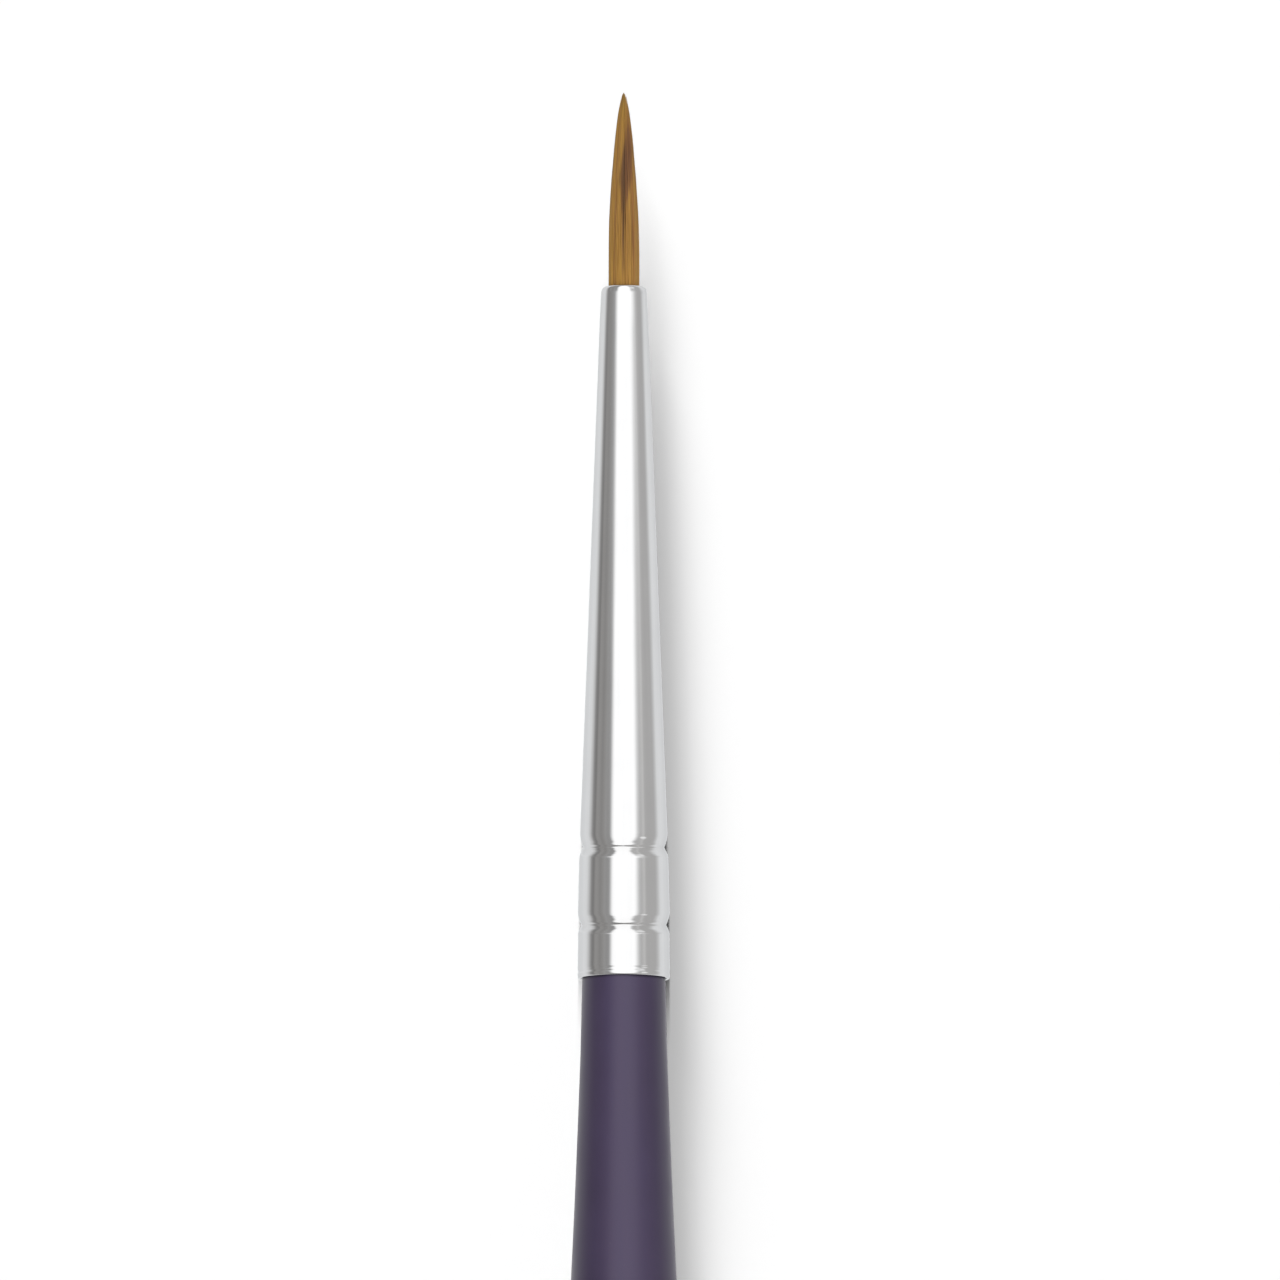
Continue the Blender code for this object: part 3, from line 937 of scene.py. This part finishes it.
def studio_world():
    """Polished surfaces mirror a soft overhead panel between grey walls; the rest get some fill."""
    world = bpy.data.worlds.new("studio")
    world.use_nodes = True
    world.cycles.sampling_method = "NONE"
    tree = world.node_tree
    tree.nodes.clear()
    toward = node(tree, "ShaderNodeTexCoord").outputs["Generated"]
    split = node(tree, "ShaderNodeSeparateXYZ", {"Vector": toward}).outputs
    across = math_node(tree, "ARCTAN2", split["X"], split["Z"])
    across = math_node(tree, "MULTIPLY", across, 180 / math.pi)
    lengthwise = math_node(tree, "ARCSINE", split["Y"])
    lengthwise = math_node(tree, "MULTIPLY", lengthwise, 180 / math.pi)
    handle_end, tip_end = PANEL_MIDDLE - 2 * TOWARDS_HANDLE, PANEL_MIDDLE + 2 * TOWARDS_TIP
    handleward = mapped(tree, lengthwise, handle_end, PANEL_MIDDLE, -2.0, 0.0)
    tipward = mapped(tree, lengthwise, PANEL_MIDDLE, tip_end, 0.0, 2.0)
    off_middle = math_node(tree, "ABSOLUTE", math_node(tree, "ADD", handleward, tipward))
    fullness = math_node(tree, "SUBTRACT", 1.0, math_node(tree, "POWER", off_middle, 3.0))
    fullness = math_node(tree, "SQRT", math_node(tree, "MAXIMUM", fullness, 0.0004))
    aside = math_node(tree, "ABSOLUTE", across)
    narrowed = math_node(tree, "MINIMUM", math_node(tree, "DIVIDE", aside, fullness), 46.0)
    narrowed = math_node(tree, "MAXIMUM", aside, narrowed)
    narrowed = math_node(tree, "MULTIPLY", narrowed, math_node(tree, "SIGN", across))
    place = mapped(tree, narrowed, -180.0, 180.0)
    near_handle, near_tip = (
        ramp(tree, place, [((a + 180) / 360, (b * (1 + w), b, b * (1 - w))) for a, b, w in walls])
        for walls in (WALLS_NEAR_HANDLE, WALLS_NEAR_TIP)
    )
    cone_start = mapped(tree, lengthwise, 11.5, 14.0)
    cone_end = mapped(tree, lengthwise, 20.0, 16.6)
    along_cone = math_node(tree, "MULTIPLY", cone_start, cone_end)
    walls = node(tree, "ShaderNodeMix", {0: along_cone}, data_type="RGBA")
    tree.links.new(near_handle, walls.inputs[6])
    tree.links.new(near_tip, walls.inputs[7])
    past_end = mapped(tree, off_middle, 0.97, 1.25, smooth=True)
    near_middle = mapped(tree, aside, 14.0, 50.0, 0.75, 0.0, smooth=True)
    beyond = math_node(tree, "MULTIPLY", past_end, near_middle)
    seen = mixed(tree, beyond, walls.outputs[2], PAST_PANEL)
    for middle_across, half_across, middle_along, half_along, brightness in WINDOWS:
        squares = []
        for angle, middle, half in (
            (across, middle_across, half_across),
            (lengthwise, middle_along, half_along),
        ):
            off = math_node(tree, "DIVIDE", math_node(tree, "SUBTRACT", angle, middle), half)
            squares.append(math_node(tree, "POWER", off, 2.0))
        window = mapped(tree, math_node(tree, "ADD", *squares), 1.3, 0.4, smooth=True)
        seen = mixed(tree, window, seen, (brightness, brightness, brightness))
    path = node(tree, "ShaderNodeLightPath").outputs
    direct = math_node(tree, "LESS_THAN", path["Diffuse Depth"], 0.5)
    glow = mapped(tree, direct, 0.0, 1.0, SECOND_BOUNCE_GLOW, PANEL_GLOW)
    white = (1, 1, 1, 1)
    glossy, fill, backdrop = (
        node(tree, "ShaderNodeBackground", {"Color": colour, "Strength": strength}).outputs[0]
        for colour, strength in ((seen, glow), (white, FILL_GLOW), (white, 1.0))
    )
    shown = fill
    for ray, shader in (("Is Glossy Ray", glossy), ("Is Camera Ray", backdrop)):
        shown = node(tree, "ShaderNodeMixShader", {0: path[ray], 1: shown, 2: shader}).outputs[0]
    node(tree, "ShaderNodeOutputWorld", {"Surface": shown})
    bpy.context.scene.world = world


def softboxes(name, boxes, lit):
    """Long soft lights along the brush that light only the given objects, each with its share of
    the light however much a long box loses towards its ends."""
    receivers = bpy.data.collections.new(name + "_lit")
    for piece in lit:
        receivers.objects.link(piece)
    for i, (inner, outer, lean, length, share) in enumerate(boxes):
        middle, half = math.radians((inner + outer) / 2), math.radians((outer - inner) / 2)
        tipward = math.radians(lean)
        lamp = bpy.data.lights.new(f"{name}_{i + 1}", "AREA")
        lamp.shape = "RECTANGLE"
        lamp.size = 2 * LIGHT_DISTANCE * math.tan(half)
        lamp.size_y = length
        holder = bpy.data.objects.new(lamp.name, lamp)
        flat = math.cos(tipward)
        away = Vector((-math.sin(middle) * flat, math.sin(tipward), math.cos(middle) * flat))
        along = (Vector((0, 1, 0)) - away * away.y).normalized()
        spots = [away * LIGHT_DISTANCE + along * length * (k / 8 - 0.5) for k in range(9)]
        reaching = sum(p.dot(away) * max(p.z, 0) / p.length**4 for p in spots)
        reaching = reaching / 9 * LIGHT_DISTANCE**2
        lamp.energy = LIGHT_POWER * share / reaching
        turn = Matrix((along.cross(away), along, away)).transposed()
        holder.matrix_world = Matrix.Translation(away * LIGHT_DISTANCE) @ turn.to_4x4()
        holder.visible_camera = False
        holder.visible_glossy = False
        holder.light_linking.receiver_collection = receivers
        bpy.context.scene.collection.objects.link(holder)


def pale_floor():
    """A matt floor that takes the shadow, and neither shows in the metal nor lights the brush."""
    made, tree, shader = new_material("pale_floor")
    clouds = placed(tree, MOTTLE, Size=400.0, Detail=2.0, Contrast=1.0)["Mottle"]
    pale = mixed(tree, clouds, (0.850, 0.850, 0.850), (0.856, 0.856, 0.856))
    tree.links.new(pale, shader["Base Color"])
    shader["Roughness"].default_value = 1.0
    shader["Specular IOR Level"].default_value = 0.0
    shape = bmesh.new()
    signs = ((-1, -1), (1, -1), (1, 1), (-1, 1))
    shape.faces.new([shape.verts.new((x * FLOOR_HALF, y * FLOOR_HALF, 0.0)) for x, y in signs])
    mesh = bpy.data.meshes.new("pale_floor")
    shape.to_mesh(mesh)
    shape.free()
    mesh.materials.append(made)
    floor = bpy.data.objects.new("pale_floor", mesh)
    bpy.context.scene.collection.objects.link(floor)
    floor.visible_glossy = False
    floor.visible_diffuse = False
    floor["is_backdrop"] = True
    return floor


CAMERA_BEHIND_MOUTH, CAMERA_ABOVE, CAMERA_RIGHT = 77.68, 449.0, 0.748
AIM_BEHIND_MOUTH = 16.55
CAMERA_LENS = 274.5


def studio_camera():
    """A long lens above the handle, looking down and a little towards the tip."""
    data = bpy.data.cameras.new("studio_camera")
    data.sensor_width, data.lens = 36.0, CAMERA_LENS
    data.clip_start, data.clip_end = 0.01, 100.0
    camera = bpy.data.objects.new("studio_camera", data)
    eye = Vector((CAMERA_RIGHT, MOUTH_Y - CAMERA_BEHIND_MOUTH, AXIS_Z + CAMERA_ABOVE)) * MM
    aim = Vector((CAMERA_RIGHT, MOUTH_Y - AIM_BEHIND_MOUTH, AXIS_Z)) * MM
    camera.location = eye
    camera.rotation_euler = (aim - eye).to_track_quat("-Z", "Y").to_euler()
    bpy.context.scene.collection.objects.link(camera)
    bpy.context.scene.camera = camera


# ---- put together ----
ferrule_shell = turned_piece(
    "ferrule_shell", ferrule_rings(), FERRULE_SEGMENTS, nickel_finish(), loop=True
)
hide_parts("ferrule")
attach(ferrule_shell, "handle")

outside, inside = handle_rings()
handle_coat = turned_piece(
    "handle_coat",
    list(reversed(inside)) + list(reversed(outside)),
    HANDLE_SEGMENTS,
    plum_finish(),
    loop=False,
)
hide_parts("handle_lacquer")
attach(handle_coat, "handle")

hairs = hair_paths()
inner = [hair for hair in hairs if hair[0] < BELLY_SHARE]
outer = [hair for hair in hairs if hair[0] >= BELLY_SHARE]
belly_hairs = hair_bundle("belly_hairs", inner, hair_finish("belly_hair", BELLY_SHADE))
outer_hairs = hair_bundle("outer_hairs", outer, hair_finish("outer_hair", OUTER_SHADE))
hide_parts("tuft_belly")
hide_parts(*LOCK_NODES)
for bundle in (belly_hairs, outer_hairs):
    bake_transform(bundle)

for name, finish in (
    ("handle_core", timber_finish()),
    ("handle_glue", resin_finish("wood_glue_set", (0.66, 0.58, 0.38), (0.82, 0.76, 0.58), 0.45)),
    ("root_cement", resin_finish("amber_cement", (0.45, 0.28, 0.10), (0.70, 0.50, 0.22), 0.25)),
    ("hair_roots", hair_finish("bound_hair", BOUND_SHADE)),
    ("binding_thread", thread_finish()),
):
    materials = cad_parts[name].data.materials
    materials.clear()
    materials.append(finish)

studio_world()
floor = pale_floor()
softboxes("floor_softbox", FLOOR_SOFTBOXES, [floor])
softboxes("brush_softbox", BRUSH_SOFTBOXES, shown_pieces())
studio_camera()
bpy.context.scene.view_settings.view_transform = "Standard"
